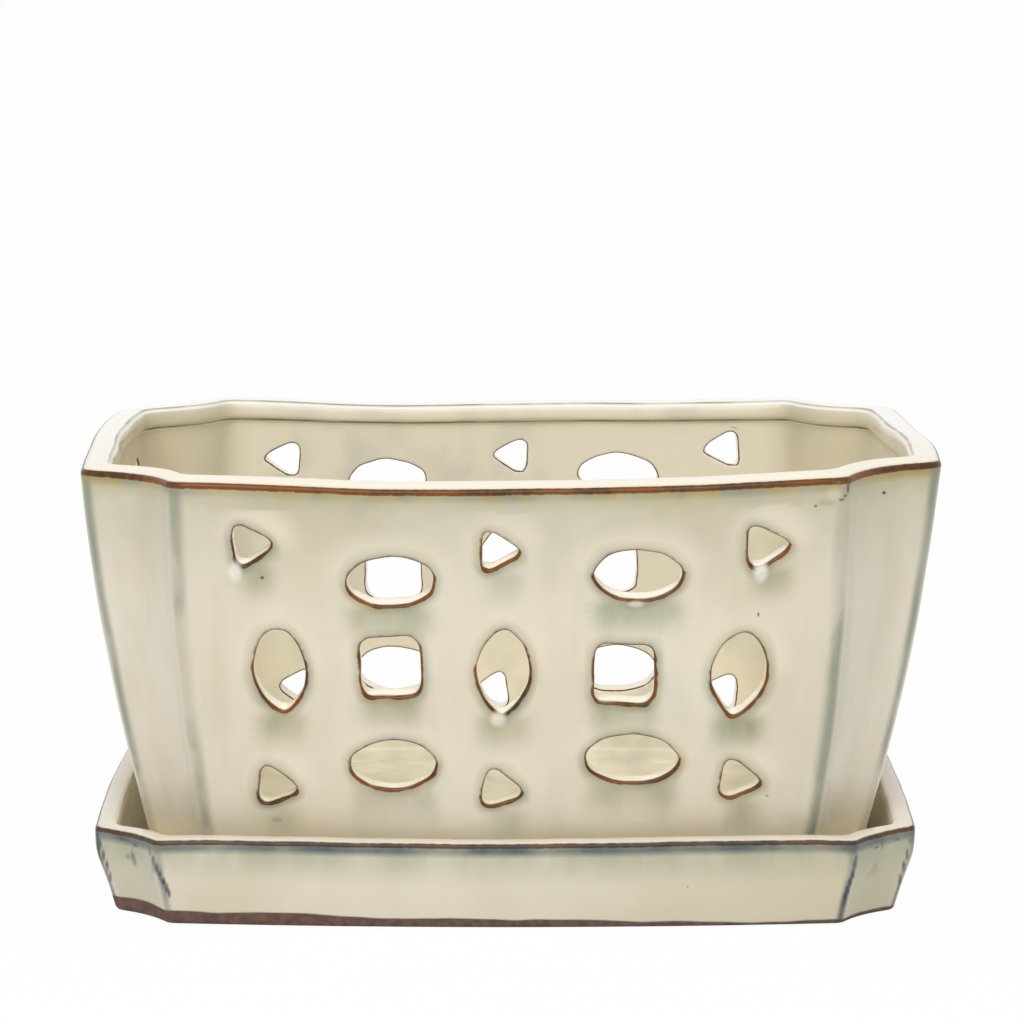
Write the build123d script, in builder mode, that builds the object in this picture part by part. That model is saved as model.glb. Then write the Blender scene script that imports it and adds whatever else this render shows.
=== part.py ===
from build123d import *
import os

# Orchid pot with slotted walls, standing on its own saucer. Millimetres, +Z up.
# Origin: middle of the saucer's underside. Long walls run along X, the front faces -Y.

# Pot, outside
pot_length = 280.0  # rim, across the middles of the short walls
pot_depth = 178.0  # rim, across the middles of the long walls
pot_height = 142.0  # from the feet's soles to the rim
pot_taper = 19.0  # how far each wall draws in between the rim and the base
taper_bend_share = 0.59  # part of the taper that gathers towards the base
long_bow = 6.0  # how far the long walls swell out
short_bow = 2.5
rim_cut_x = 31.5  # corner cuts, measured along each wall
rim_cut_y = 28.5
base_cut_x = 20.5
base_cut_y = 18.5
corner_hollow = 5.5  # how far the corner cuts dish inwards at the rim, less where they are shorter
crease_radius = 3.0

# Pot, inside
wall = 8.0
rim_width = 10.5
lip_height = 7.8  # thicker band at the top of the inside
inner_crease_radius = 6.0
pot_floor = 8.0
floor_radius = 3.5  # where the inside walls run into the floor
base_radius = 3.5  # outer edge of the underside
rim_radius = 2.4

# Feet, one under each corner, hollow above as the clay follows them
foot_height = 4.0
foot_width = 14.0
foot_inset = 7.0
foot_gap_x = 96.0  # open stretch between two feet along the long walls
foot_gap_y = 50.0
groove_width = 4.6
groove_depth = 2.5

# Drain holes
drain_diameter = 25.0
drain_spacing = 110.0

# Slots through the walls
long_pitch = 38.5  # between neighbouring columns on the long walls
short_pitch = 35.0
upper_slots_below_rim = 22.0  # from the rim down to the middle of the upper triangles
lower_slots_above_soles = 39.0  # from the soles up to the middle of the lower triangles
eye_square_gap = 11.7  # clay left between an eye and the square above or below it
eye_length = 29.6
eye_width = 17.8
eye_tip_radius = 4.8
square_side = 20.8
square_radius = 4.2
triangle_width = 15.2  # before its corners are rounded
triangle_height = 17.6
triangle_radius = 2.6
slot_drift = 5.0  # how far a hand-cut slot can sit from its true place

# Saucer
saucer_clearance_x = 6.5  # from the pot's base to the wall of the saucer's upright band
saucer_clearance_y = 8.5
saucer_height = 29.0
saucer_floor = 6.0
saucer_wall = 7.5
saucer_taper = 6.4  # how far the saucer's wall draws in under its upright band
saucer_band = 9.0  # upright band below the rim
saucer_long_bow = 4.2
saucer_short_bow = 1.8
saucer_rim_cut_x = 21.5
saucer_rim_cut_y = 19.0
saucer_base_cut_x = 18.5
saucer_base_cut_y = 15.5
saucer_hollow = 2.2
saucer_rim_radius = 1.8
saucer_base_radius = 1.4
saucer_floor_radius = 4.0
saucer_inner_crease_radius = 11.0
tray_foot_share = 0.75  # how much of the saucer's taper its inside takes by the floor

overrun = 5.0

# Heights worked out from the sizes above
sole_z = saucer_floor
base_z = sole_z + foot_height
rim_z = sole_z + pot_height
cavity_z = base_z + pot_floor
lip_z = rim_z - lip_height

# Rows of slots lie above and below the middle row, triangles by the pot's height
triangle_row_rise = (pot_height - upper_slots_below_rim - lower_slots_above_soles) / 2
slots_z = sole_z + lower_slots_above_soles + triangle_row_rise
eye_row_rise = (square_side + eye_width) / 2 + eye_square_gap

# The saucer goes round the pot's base with room to spare
saucer_length = pot_length - 2 * (pot_taper - saucer_clearance_x - saucer_wall)
saucer_depth = pot_depth - 2 * (pot_taper - saucer_clearance_y - saucer_wall)

# A corner cut keeps this share of an inset when its outline is drawn in
cut_inset_share = 2 - 2**0.5
level_shares = (0, 0.34, 0.68, 1)

# Slot patterns, row by row from the top, each column from left to right seen from outside
long_pattern = (
    ("triangle", "eye", "triangle", "eye", "triangle"),
    ("leaf", "square", "leaf", "square", "leaf"),
    ("triangle", "eye", "triangle", "eye", "triangle"),
)
short_pattern = (
    ("triangle", "eye", "triangle"),
    ("leaf", "square", "leaf"),
    ("triangle", "eye", "triangle"),
)
row_signs = (1, 0, -1)

# Where the hand-cut slots really sit: shares of the drift along the wall and up, then tilt
front_drift_shares = (
    ((-0.3, 0.2, 5), (0.6, -0.2, 1), (0.0, -0.2, -3), (0.9, 0.2, -1), (1.3, 0.1, 4)),
    ((0.9, -0.1, 3), (0.5, 0.3, 1), (0.0, -0.1, -3), (0.1, -0.2, -1), (-0.7, -0.3, -8)),
    ((0.8, 0.0, -8), (0.5, -0.2, 2), (0.2, 0.0, -12), (0.4, 0.2, -2), (-0.2, 0.5, -10)),
)
back_drift_shares = (
    ((-0.4, 0.6, -3), (-0.7, 0.5, 2), (-0.4, 0.1, 3), (0.9, 0.1, -2), (0.8, -0.1, 4)),
    ((0.4, 0.1, -4), (-0.3, -0.2, 2), (0.1, 0.2, 3), (0.4, 0.1, -2), (-0.5, 0.0, 5)),
    ((0.0, -0.75, 6), (-0.7, -0.9, -1), (0.9, -0.75, -6), (0.4, -1.05, 3), (0.3, -0.4, 5)),
)
right_drift_shares = (
    ((0.2, 0.3, 4), (-0.2, 0.1, -1), (-0.4, -0.1, -5)),
    ((0.3, 0.0, -3), (0.1, 0.2, 2), (-0.2, -0.1, 4)),
    ((0.2, -0.2, -6), (0.2, 0.1, 1), (0.1, 0.2, 5)),
)
left_drift_shares = (
    ((0.4, -0.1, -4), (0.1, 0.2, 2), (-0.2, 0.2, 3)),
    ((-0.2, 0.1, 4), (-0.2, -0.1, -2), (0.3, 0.1, -5)),
    ((0.3, 0.1, 5), (-0.1, -0.2, -1), (-0.3, 0.0, -4)),
)


def outline(size, cut, bows, hollow, crease):
    """Eight-sided outline: bowed walls that meet in dished corner cuts."""
    (length, depth), (cut_x, cut_y), (bow_of_long, bow_of_short) = size, cut, bows
    side_x, side_y = length / 2 - bow_of_short, depth / 2 - bow_of_long - cut_y
    front_x, front_y = side_x - cut_x, side_y + cut_y
    dish = hollow / (cut_x**2 + cut_y**2) ** 0.5
    middle_x = (side_x + front_x) / 2 - dish * cut_y
    middle_y = (side_y + front_y) / 2 - dish * cut_x
    with BuildSketch() as shape:
        with BuildLine():
            for turn in (1, -1):
                ThreePointArc(
                    (turn * side_x, -side_y), (turn * length / 2, 0), (turn * side_x, side_y)
                )
                ThreePointArc(
                    (-front_x, turn * front_y), (0, turn * depth / 2), (front_x, turn * front_y)
                )
                for flip in (1, -1):
                    ThreePointArc(
                        (turn * side_x, flip * side_y),
                        (turn * middle_x, flip * middle_y),
                        (turn * front_x, flip * front_y),
                    )
        make_face()
        fillet(shape.vertices(), radius=crease)
    return shape.sketch


def pot_outline(height, inset=0.0, crease=crease_radius):
    """The pot's outline at a height, drawn in by an inset for its inner surfaces."""
    drop = (rim_z - height) / (rim_z - base_z)
    draw_in = inset + pot_taper * drop * (1 - taper_bend_share + taper_bend_share * drop)
    cut_x = rim_cut_x + (base_cut_x - rim_cut_x) * drop - cut_inset_share * inset
    cut_y = rim_cut_y + (base_cut_y - rim_cut_y) * drop - cut_inset_share * inset
    hollow = corner_hollow * cut_x / rim_cut_x
    size = (pot_length - 2 * draw_in, pot_depth - 2 * draw_in)
    return outline(size, (cut_x, cut_y), (long_bow, short_bow), hollow, crease)


def saucer_outline(drop, inset=0.0, crease=crease_radius):
    """The saucer's outline, from its upright band (drop 0) to its underside (drop 1)."""
    draw_in = inset + saucer_taper * drop
    cut_x = saucer_rim_cut_x + (saucer_base_cut_x - saucer_rim_cut_x) * drop - cut_inset_share * inset
    cut_y = saucer_rim_cut_y + (saucer_base_cut_y - saucer_rim_cut_y) * drop - cut_inset_share * inset
    hollow = saucer_hollow * cut_x / saucer_rim_cut_x
    size = (saucer_length - 2 * draw_in, saucer_depth - 2 * draw_in)
    return outline(size, (cut_x, cut_y), (saucer_long_bow, saucer_short_bow), hollow, crease)


def feet_band(width):
    """Four L shapes under the pot's corners, centred in the feet's width."""
    side_inset = foot_inset + (foot_width - width) / 2
    with BuildSketch() as band:
        add(pot_outline(base_z, side_inset))
        add(pot_outline(base_z, side_inset + width, inner_crease_radius / 2), mode=Mode.SUBTRACT)
        Rectangle(foot_gap_x + foot_width - width, pot_depth, mode=Mode.SUBTRACT)
        Rectangle(pot_length, foot_gap_y + foot_width - width, mode=Mode.SUBTRACT)
    return band.sketch


def eye_slot():
    """Two shallow arcs that meet in blunt tips."""
    with BuildSketch() as eye:
        with BuildLine():
            for side in (1, -1):
                ThreePointArc((-eye_length / 2, 0), (0, side * eye_width / 2), (eye_length / 2, 0))
        make_face()
        fillet(eye.vertices(), radius=eye_tip_radius)
    return eye.sketch


def square_slot():
    with BuildSketch() as square:
        RectangleRounded(square_side, square_side, square_radius)
    return square.sketch


def triangle_slot():
    """One edge upright, the blunt point to the right."""
    with BuildSketch() as triangle:
        left, half = -triangle_width / 2, triangle_height / 2
        Polygon((left, half), (left, -half), (-left, 0), align=None)
        fillet(triangle.vertices(), radius=triangle_radius)
    return triangle.sketch


def wall_slots(pattern, pitch, drift_shares):
    """All slots of one wall, drawn flat: X along the wall, Y up from the soles' height."""
    shapes = {"eye": eye_slot(), "square": square_slot(), "triangle": triangle_slot()}
    shapes["leaf"] = shapes["eye"].rotate(Axis.Z, 90)
    rises = {"eye": eye_row_rise, "triangle": triangle_row_rise, "leaf": 0, "square": 0}
    middle_column = (len(pattern[0]) - 1) / 2
    with BuildSketch() as slots:
        for sign, kinds, drifts in zip(row_signs, pattern, drift_shares):
            for column, (kind, (along, up, tilt)) in enumerate(zip(kinds, drifts)):
                x = (column - middle_column) * pitch + along * slot_drift
                y = slots_z + sign * rises[kind] + up * slot_drift
                with Locations(Location((x, y, 0), (0, 0, tilt))):
                    add(shapes[kind])
    return slots.sketch


# Saucer: a tray whose upright band stands on an inward slanting wall
with BuildPart() as tray_hollow:
    for height, drop in ((saucer_floor, tray_foot_share), (saucer_height - saucer_band, 0)):
        with BuildSketch(Plane.XY.offset(height)):
            add(saucer_outline(drop, saucer_wall, saucer_inner_crease_radius))
    loft()
    fillet(tray_hollow.edges().group_by(Axis.Z)[0], radius=saucer_floor_radius)
    with BuildSketch(Plane.XY.offset(saucer_height - saucer_band)):
        add(saucer_outline(0, saucer_wall, saucer_inner_crease_radius))
    extrude(amount=saucer_band + overrun)

with BuildPart() as saucer:
    for height, drop in ((0, 1), (saucer_height - saucer_band, 0)):
        with BuildSketch(Plane.XY.offset(height)):
            add(saucer_outline(drop))
    loft()
    fillet(saucer.edges().group_by(Axis.Z)[0], radius=saucer_base_radius)
    with BuildSketch(Plane.XY.offset(saucer_height - saucer_band)):
        add(saucer_outline(0))
    extrude(amount=saucer_band)
    add(tray_hollow.part, mode=Mode.SUBTRACT)
    fillet(saucer.edges().group_by(Axis.Z)[-1], radius=saucer_rim_radius)
saucer.part.label = "saucer"

# Pot: a tapering body with four feet, hollowed, slotted and drained
with BuildPart() as pot_hollow:
    for share in level_shares:
        height = cavity_z + (lip_z - cavity_z) * share
        with BuildSketch(Plane.XY.offset(height)):
            add(pot_outline(height, wall, inner_crease_radius))
    loft()
    fillet(pot_hollow.edges().group_by(Axis.Z)[0], radius=floor_radius)

with BuildPart() as pot_mouth:
    for height in (lip_z, rim_z):
        with BuildSketch(Plane.XY.offset(height)):
            add(pot_outline(height, rim_width, inner_crease_radius))
    loft()

with BuildPart() as pot:
    for share in level_shares:
        height = base_z + (rim_z - base_z) * share
        with BuildSketch(Plane.XY.offset(height)):
            add(pot_outline(height))
    loft()
    fillet(pot.edges().group_by(Axis.Z)[0], radius=base_radius)
    add(pot_hollow.part, mode=Mode.SUBTRACT)
    add(pot_mouth.part, mode=Mode.SUBTRACT)
    fillet(pot.edges().group_by(Axis.Z)[-1], radius=rim_radius)
    with BuildSketch(Plane.XY.offset(sole_z)):
        add(feet_band(foot_width))
    extrude(amount=foot_height)
    with BuildSketch(Plane.XY.offset(cavity_z)):
        add(feet_band(groove_width))
    extrude(amount=-groove_depth, mode=Mode.SUBTRACT)
    with BuildSketch(Plane.XY.offset(cavity_z)):
        with GridLocations(drain_spacing, 0, 2, 1):
            Circle(drain_diameter / 2)
    extrude(amount=-(pot_floor + overrun), mode=Mode.SUBTRACT)
    for turn, half_width, pattern, pitch, drift_shares in (
        (0, pot_depth / 2, long_pattern, long_pitch, front_drift_shares),
        (90, pot_length / 2, short_pattern, short_pitch, right_drift_shares),
        (180, pot_depth / 2, long_pattern, long_pitch, back_drift_shares),
        (270, pot_length / 2, short_pattern, short_pitch, left_drift_shares),
    ):
        outward = Vector(0, -1, 0).rotate(Axis.Z, turn)
        along = Vector(1, 0, 0).rotate(Axis.Z, turn)
        with BuildSketch(Plane(outward * (half_width + overrun), x_dir=along, z_dir=outward)):
            add(wall_slots(pattern, pitch, drift_shares))
        extrude(amount=-(pot_taper + wall + long_bow + 2 * overrun), mode=Mode.SUBTRACT)
pot.part.label = "pot"

os.makedirs("parts", exist_ok=True)
export_step(saucer.part, "parts/saucer.step")
export_step(pot.part, "parts/pot.step")
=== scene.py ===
import math
from collections import namedtuple

import bmesh
import bpy
from bpy.props import FloatProperty, FloatVectorProperty, PointerProperty
from bpy.types import Operator, Panel, PropertyGroup
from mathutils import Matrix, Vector, noise


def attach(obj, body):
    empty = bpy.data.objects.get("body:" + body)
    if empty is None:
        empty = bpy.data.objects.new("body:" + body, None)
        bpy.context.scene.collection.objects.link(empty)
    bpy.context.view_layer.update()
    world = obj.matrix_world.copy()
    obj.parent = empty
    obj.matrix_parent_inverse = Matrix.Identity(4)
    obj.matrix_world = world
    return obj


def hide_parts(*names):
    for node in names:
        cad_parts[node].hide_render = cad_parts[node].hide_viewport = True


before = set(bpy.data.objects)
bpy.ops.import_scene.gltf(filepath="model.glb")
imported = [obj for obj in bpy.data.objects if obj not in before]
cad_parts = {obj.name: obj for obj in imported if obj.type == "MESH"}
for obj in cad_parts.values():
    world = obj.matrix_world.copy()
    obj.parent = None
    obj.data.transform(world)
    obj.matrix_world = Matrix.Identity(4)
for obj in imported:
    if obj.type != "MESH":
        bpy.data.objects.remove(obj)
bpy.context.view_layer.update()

bl_info = {
    "name": "Slotted orchid pot",
    "version": (1, 0, 0),
    "blender": (4, 5, 0),
    "location": "View3D > Sidebar > Orchid pot",
    "description": "Glazed stoneware orchid pot with cut slots, standing on its saucer",
    "category": "Add Mesh",
}

# Lengths below are in millimetres, and a piece's mesh is in metres
MM = 0.001

# Sets the slow waves of the hand-made shapes, so that they are the same each run
NOISE_SEED = 1796013223

# Outline of the pot: bowed walls that meet in dished corner cuts, drawn in towards the base
Body = namedtuple("Body", "length depth taper bend_share rim_cut base_cut bows hollow setbacks")
Section = namedtuple("Section", "halves reaches bows hollow setback")

POT = Body(280, 178, 19, 0.59, (31.5, 28.5), (20.5, 18.5), (6, 2.5), 5.5, (4.0, 4.6))
SAUCER = Body(270, 172, 5.5, 0, (21.5, 19), (18.5, 14.2), (4.2, 1.8), 2.2, (2.0, 4.5))
CUT_INSET_SHARE = 2 - 2**0.5

# Heights of the pot
SOLE_Z = 6
BASE_Z = 10
FLOOR_Z = 18
RIM_Z = 148
WALL = 8

# Feet and drain holes
FOOT_GAPS = (96, 50)
GROOVE_DEPTH = 2.5
DRAIN_RADIUS = 12.5
DRAIN_SPACING = 110
DRAIN_STEPS = 48

# Slots: long walls have five columns, short walls three
PITCHES = (38.5, 35)
SLOTS_Z = 85.5
EYE_RISE = 31
TRIANGLE_RISE = 40.5
EYE_SIZE = (29.6, 17.8)
SQUARE_SIDE = 20.8
TRIANGLE_SIZE = (15.2, 17.6)
DRIFT = 5
PATTERNS = (
    (
        ("triangle", "eye", "triangle", "eye", "triangle"),
        ("leaf", "square", "leaf", "square", "leaf"),
        ("triangle", "eye", "triangle", "eye", "triangle"),
    ),
    (
        ("triangle", "eye", "triangle"),
        ("leaf", "square", "leaf"),
        ("triangle", "eye", "triangle"),
    ),
)

# How each hand-cut slot sits: shares of the drift along the wall and up, then its tilt
DRIFT_SHARES = (
    (
        ((-0.3, 0.2, 5), (0.55, -0.2, 1), (0.16, -0.1, -3), (0.8, 0.2, -1), (1.3, 0.1, 4)),
        ((0.9, -0.1, 3), (0.45, 0.3, 1), (0.0, -0.1, -3), (-0.03, -0.2, -1), (-0.7, -0.3, -8)),
        ((0.8, 0.0, -8), (0.5, -0.2, 2), (0.2, 0.0, -12), (0.4, 0.2, -2), (-0.2, 0.5, -10)),
    ),
    (
        ((0.2, 0.3, 4), (-0.2, 0.1, -1), (-0.4, -0.1, -5)),
        ((0.3, 0.0, -3), (0.1, 0.2, 2), (-0.2, -0.1, 4)),
        ((0.2, -0.2, -6), (0.2, 0.1, 1), (0.1, 0.2, 5)),
    ),
    (
        ((-0.05, 0.6, -3), (-0.6, 0.5, 2), (-0.2, 0.1, 3), (1.0, 0.1, -2), (1.4, -0.1, 4)),
        ((0.1, 0.1, -4), (0.07, 0.1, 2), (0.1, 0.2, 3), (0.5, -0.45, -2), (-0.5, 0.0, 5)),
        ((0.0, -0.75, 6), (-0.55, -1.15, -1), (1.3, -0.95, -6), (0.4, -1.2, 3), (0.3, -0.4, 5)),
    ),
    (
        ((0.4, -0.1, -4), (0.1, 0.2, 2), (-0.2, 0.2, 3)),
        ((-0.2, 0.1, 4), (-0.2, -0.1, -2), (0.3, 0.1, -5)),
        ((0.3, 0.1, 5), (-0.1, -0.2, -1), (-0.3, 0.0, -4)),
    ),
)

# Slots that are narrower than their pattern: wall, row and column, then share of the width
NARROWED = {(0, 0, 2): 0.95, (0, 0, 3): 0.95, (0, 1, 1): 0.975, (0, 1, 3): 0.92}

# The slotted field of a wall: columns and rows of cells, one slot in each
FIELD_Z = (139, 106, 65.5, 31.5)
FIELD_HALVES = (96.5, 49.5)
FLAT_HALVES = (104, 52.5)
KEEP_HALVES = (92.5, 46.5)
CELL_STEPS = 12
MARGIN_STEPS = (3, 2)
CORNER_STEPS = 10

# A distance that counts as far from every crease and slot
FAR = 30.0

# How far a slot's rounded edge reaches back from its outline, at least and at most, and how
# much its lower edge slopes up through the wall, by row
SLOT_EDGE = (0.45, 1.0)
SLOT_SILLS = (1.2, 1.3, 0.4)

# How far the rim and the base stand off their true places: where, then along X and up
PULL_REACH = 42.0
RIM_PULLS = (
    (-137, -55, 0.0, -1.1),
    (-121, -69, 1.2, -3.0),
    (-106, -83, 0.4, 3.2),
    (-55, -88, -0.2, -1.2),
    (0, -89, -0.8, -0.9),
    (55, -88, -0.8, -0.6),
    (106, -83, 0.1, 1.2),
    (121, -69, 3.9, 3.3),
    (137, -55, 4.1, 0.9),
    (137, 55, 0.6, 0.1),
    (121, 69, 1.0, 4.9),
    (106, 83, -1.4, -2.5),
    (55, 88, -0.9, -1.5),
    (0, 89, -0.8, -1.6),
    (-55, 88, 0.3, -2.3),
    (-106, 83, 2.5, -1.0),
    (-121, 69, 1.5, 3.4),
    (-137, 55, -1.7, 0.0),
)
BASE_PULLS = (
    (-137, -55, 3.2, 0),
    (-106, -83, 1.9, 0),
    (0, -89, -0.3, 0),
    (106, -83, 1.7, 0),
    (137, -55, -2.7, 0),
    (137, 55, -1.4, 0),
    (106, 83, 0.2, 0),
    (0, 89, -0.5, 0),
    (-106, 83, 0.4, 0),
    (-137, 55, 1.9, 0),
)

# Beads and runs of glaze that stand proud of the front: x and z, half width and height, lift,
# and how milky they are
BEADS = (
    (-84.8, 118.2, 2.6, 4.2, 0.7, 0.75),
    (-2.1, 69.9, 3.1, 3.2, 0.8, 0.75),
    (80.6, 118.4, 2.8, 4.2, 0.8, 0.8),
    (41.3, 108.3, 3.0, 1.3, 0.5, 0.55),
    (103.4, 142.9, 3.2, 2.8, 1.1, 0.25),
)


def mix(low, high, share):
    """The value at a share of the way from low to high."""
    return low + (high - low) * share


def smooth_step(low, high, value):
    """Rises softly from 0 at low to 1 at high, or falls if high is the lower one."""
    share = min(max((value - low) / (high - low), 0), 1)
    return share * share * (3 - 2 * share)


def fade(low, high, value):
    """The rest of a smooth step: 1 up to low and 0 from high."""
    return 1 - smooth_step(low, high, value)


def section(body, drop, inset):
    """The outline at a share of the way down from the rim, drawn in by an inset."""
    draw_in = inset + body.taper * drop * (1 - body.bend_share + body.bend_share * drop)
    cut_x = mix(body.rim_cut[0], body.base_cut[0], drop) - CUT_INSET_SHARE * inset
    cut_y = mix(body.rim_cut[1], body.base_cut[1], drop) - CUT_INSET_SHARE * inset
    side_x = body.length / 2 - draw_in - body.bows[1]
    front_y = body.depth / 2 - draw_in - body.bows[0]
    setback = mix(body.setbacks[0], body.setbacks[1], min(inset / WALL, 1))
    setback = min(setback, 0.3 * math.hypot(cut_x, cut_y))
    return Section(
        (side_x - cut_x, front_y - cut_y),
        (front_y, side_x),
        body.bows,
        body.hollow * cut_x / body.rim_cut[0],
        setback,
    )


def wall_axes(wall):
    """Unit vectors along a wall and out of it. Wall 0 is the front, and the rest follow round."""
    turn = wall * math.pi / 2
    return Vector((math.cos(turn), math.sin(turn))), Vector((math.sin(turn), -math.cos(turn)))


def wall_point(cut, wall, flat):
    """A point of a bowed wall. Past the slots, flat places are squeezed to reach the crease."""
    kind = wall % 2
    half, reach, bow = cut.halves[kind], cut.reaches[kind], cut.bows[kind]
    end = half - cut.setback
    keep = min(KEEP_HALVES[kind], end - 1.2)
    place = abs(flat)
    if place > keep:
        place = keep + (place - keep) * (end - keep) / (FLAT_HALVES[kind] - keep)
    place = math.copysign(place, flat)
    along, outward = wall_axes(wall)
    return along * place + outward * (reach + bow * (1 - (place / half) ** 2))


def sharp_ends(cut, wall):
    """The two sharp corners between a wall, its corner cut and the next wall."""
    ends = []
    for number, side in ((wall, 1), (wall + 1, -1)):
        along, outward = wall_axes(number)
        ends.append(along * side * cut.halves[number % 2] + outward * cut.reaches[number % 2])
    return ends


def corner_point(cut, wall, share):
    """A point of the dished cut that follows a wall; share runs between the two creases."""
    start, end = sharp_ends(cut, wall)
    width = (end - start).length
    edge = cut.setback / width
    share = mix(edge, 1 - edge, share)
    inward = -(start + end).normalized()
    return start.lerp(end, share) + inward * cut.hollow * 4 * share * (1 - share)


def crease_point(cut, wall, share):
    """A point of a rounded crease: shares 0 to 1 lie after the wall, 2 to 3 before the next."""
    start, end = sharp_ends(cut, wall)
    if share <= 1:
        before, tip, after = wall_point(cut, wall, FLAT_HALVES[wall % 2]), start, corner_point(cut, wall, 0)
    else:
        share -= 2
        next_flat = -FLAT_HALVES[(wall + 1) % 2]
        before, tip, after = corner_point(cut, wall, 1), end, wall_point(cut, wall + 1, next_flat)
    return before.lerp(tip, share).lerp(tip.lerp(after, share), share)


def column_point(cut, column):
    """The point of a section on a column, which is named by its kind, wall and value."""
    kind, wall, value = column
    if kind == "wall":
        return wall_point(cut, wall, value)
    if kind == "crease":
        return crease_point(cut, wall, value)
    return corner_point(cut, wall, value)


def crease_gap(cut, column):
    """Distance to the nearest crease: above zero on a wall, below zero in a corner cut."""
    kind, wall, value = column
    if kind == "wall":
        along = wall_axes(wall)[0]
        return cut.halves[wall % 2] - abs(wall_point(cut, wall, value).dot(along))
    if kind == "crease":
        share = value if value <= 1 else 3 - value
        return cut.setback * (1 - 2 * share)
    start, end = sharp_ends(cut, wall)
    return -cut.setback - min(value, 1 - value) * ((end - start).length - 2 * cut.setback)


def spread(start, end, steps):
    """Values in even steps from start to end, without start."""
    return [mix(start, end, number / steps) for number in range(1, steps + 1)]


def boundaries(wall):
    """Flat places of the lines between a wall's columns, with the field's two ends."""
    kind = wall % 2
    count = len(PATTERNS[kind][0])
    inner = [(number - count / 2) * PITCHES[kind] for number in range(1, count)]
    return [-FIELD_HALVES[kind]] + inner + [FIELD_HALVES[kind]]


def corner_columns(wall):
    """Columns from the end of a wall's field, round the corner, to the next wall's field."""
    kind, next_kind = wall % 2, (wall + 1) % 2
    flats = [FIELD_HALVES[kind]] + spread(FIELD_HALVES[kind], FLAT_HALVES[kind], MARGIN_STEPS[kind])
    columns = [("wall", wall, flat) for flat in flats]
    columns += [("crease", wall, share) for share in (0.25, 0.5, 0.75)]
    columns += [("corner", wall, number / CORNER_STEPS) for number in range(CORNER_STEPS + 1)]
    columns += [("crease", wall, share) for share in (2.25, 2.5, 2.75)]
    columns += [("wall", (wall + 1) % 4, -FLAT_HALVES[next_kind])]
    flats = spread(-FLAT_HALVES[next_kind], -FIELD_HALVES[next_kind], MARGIN_STEPS[next_kind])
    return columns + [("wall", (wall + 1) % 4, flat) for flat in flats]


def ring_columns():
    """All columns once round the pot, starting at the left end of the front wall's field."""
    columns = []
    for wall in range(4):
        lines = boundaries(wall)
        for start, end in zip(lines, lines[1:]):
            columns += [("wall", wall, flat) for flat in spread(start, end, CELL_STEPS)]
        columns += corner_columns(wall)[1:]
    return columns


def pot_section(height, inset):
    """The pot's outline at a height."""
    return section(POT, (RIM_Z - height) / (RIM_Z - BASE_Z), inset)


def pulled(point, pulls):
    """A blend of the pulls round an outline, by how near each one is."""
    total, weights = Vector((0, 0)), 0.0
    for x, y, along, up in pulls:
        weight = math.exp(-((point.x - x) ** 2 + (point.y - y) ** 2) / PULL_REACH**2)
        total += Vector((along, up)) * weight
        weights += weight
    return total / weights


def pot_shift(point, depth):
    """The unevenness of hand work: the rim leans and sags, its lip swells and beads stand proud."""
    rise = min(max((point.z - BASE_Z) / (RIM_Z - BASE_Z), 0), 1)
    # The walls draw in, so low points are spread out to lie beside the same pulls as the rim
    spread_out = Vector((point.x, point.y, 0)) * (1 + 0.16 * (1 - rise))
    at_rim = pulled(spread_out, RIM_PULLS)
    lean = mix(pulled(spread_out, BASE_PULLS).x, at_rim.x, rise)
    # The flat of the rim slopes down inwards at the back
    tilt = (4 - depth) * 0.13 * smooth_step(143, 147, point.z) * smooth_step(-20, 60, point.y)
    sag = at_rim.y * smooth_step(120, 148, point.z) + tilt
    lift = smooth_step(BASE_Z, 40, point.z)
    slow = noise.noise_vector(point / 70 + Vector((3.1, 7.7, 1.3)))
    quick = noise.noise_vector(point / 21 + Vector((9.2, 0.4, 5.8)))
    uneven = Vector((lean, 0, sag)) + (slow * 0.45 + quick * 0.16) * lift
    # The inner lip is thicker in some places than in others
    swell = noise.noise(Vector((point.x / 17, point.y / 17, 2.5)))
    swell *= 0.8 * smooth_step(139.6, 143, point.z) * smooth_step(7.5, 10, depth)
    uneven -= Vector((point.x, point.y, 0)).normalized() * swell
    return uneven + Vector((0, -bead_lift(point) * smooth_step(2.5, 0.8, depth), 0))


def bead_lift(point):
    """How far beads of glaze stand proud at a place of the front."""
    lift = 0.0
    if point.y < -40:
        for x, z, half_width, half_height, height, milky in BEADS:
            away = math.hypot((point.x - x) / half_width, (point.z - z) / half_height)
            lift = max(lift, height * fade(0.3, 1.15, away))
    return lift


def saucer_shift(point, depth):
    """The saucer's unevenness grows upwards, and its front rim rises between its corners."""
    slow = noise.noise_vector(point / 60 + Vector((1.7, 4.2, 8.8)))
    quick = noise.noise_vector(point / 17 + Vector((6.3, 2.9, 0.6)))
    rise = smooth_step(6.5, 24, point.z)
    front = smooth_step(-40, -72, point.y) * smooth_step(128, 95, abs(point.x))
    lift = 1.5 * front * smooth_step(10, 26, point.z)
    return Vector((point.x * 0.006 * rise, 0, lift)) + (slow * 0.6 + quick * 0.16) * rise


Layers = namedtuple("Layers", "column slot point level crease_gap skin burnt line fringe haze halo")


def new_mesh():
    """An empty bmesh whose vertices carry what the glaze needs to know of its place."""
    bm = bmesh.new()
    whole = [bm.verts.layers.int.new(name) for name in Layers._fields[:3]]
    real = [bm.verts.layers.float.new(name) for name in Layers._fields[3:]]
    return bm, Layers(*whole, *real)


def set_place(vertex, layers, point, depth, shift, gap=FAR):
    """Puts a vertex near its point and clears its marks."""
    vertex.co = (point + shift(point, depth)) * MM
    vertex[layers.level] = point.z
    vertex[layers.crease_gap] = gap
    for layer in layers[layers.index(layers.burnt):]:
        vertex[layer] = 0.0


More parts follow.
